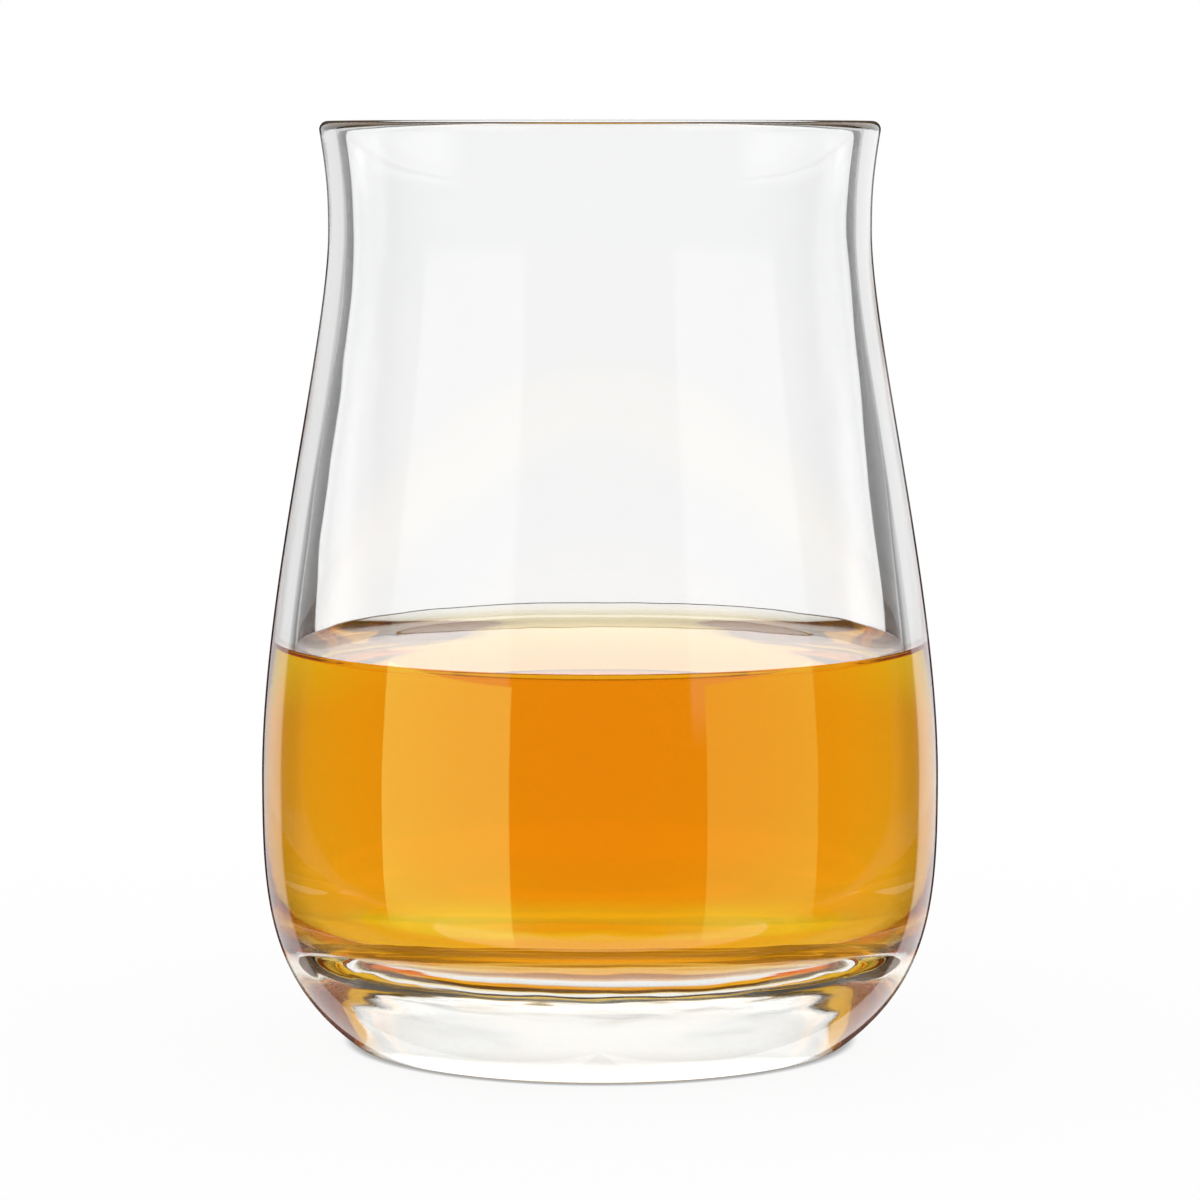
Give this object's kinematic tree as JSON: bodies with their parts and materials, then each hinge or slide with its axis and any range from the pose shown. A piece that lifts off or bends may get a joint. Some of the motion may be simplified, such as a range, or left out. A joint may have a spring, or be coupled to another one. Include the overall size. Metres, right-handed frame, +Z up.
{
  "type": "bourbon glass",
  "caption": "Stemless crystal tumbler with a heavy rounded base, full belly, drawn-in waist and flared lip, holding a pour of amber bourbon.",
  "frame": {"origin": "on the surface that the glass stands on, under the middle of its foot", "axes": "+Z up along the glass's axis of revolution, +Y away from the viewer of the picture, +X to the viewer's right"},
  "size_m": [0.081, 0.081, 0.11],
  "materials": {
    "crystal": "clear, fire-polished",
    "amber_spirit": "clear amber liquid"
  },
  "bodies": {
    "root": {"glass": "crystal", "bourbon": "amber_spirit"}
  },
  "joints": []
}
